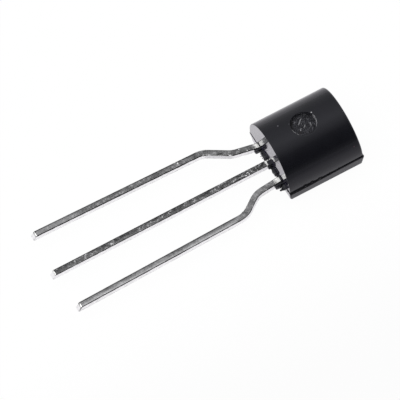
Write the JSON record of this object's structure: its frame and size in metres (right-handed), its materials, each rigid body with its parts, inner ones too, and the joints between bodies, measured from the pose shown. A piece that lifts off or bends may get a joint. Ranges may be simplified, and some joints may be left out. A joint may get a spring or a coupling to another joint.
{
  "type": "to-92 transistor",
  "caption": "Small-signal transistor: black D-shaped moulded case with a rounded back and a flat face, and tinned square leads whose outer ones step outwards.",
  "frame": {"origin": "centre of the flat face that the case rests on", "axes": "+X across the three leads, with the base lead on +X, +Y from the lead tips towards the closed end of the case, +Z from the flat face out of the rounded back"},
  "size_m": [0.0058, 0.019, 0.0035],
  "materials": {
    "moulded_epoxy": "satin",
    "tinned_lead": "satin",
    "silicon": "polished",
    "solder": "satin",
    "gold_wire": "polished"
  },
  "bodies": {
    "root": {"case": "moulded_epoxy", "emitter_lead": "tinned_lead", "collector_lead": "tinned_lead", "base_lead": "tinned_lead", "die": "silicon", "die_solder": "solder", "emitter_wire": "gold_wire", "base_wire": "gold_wire"}
  },
  "joints": []
}
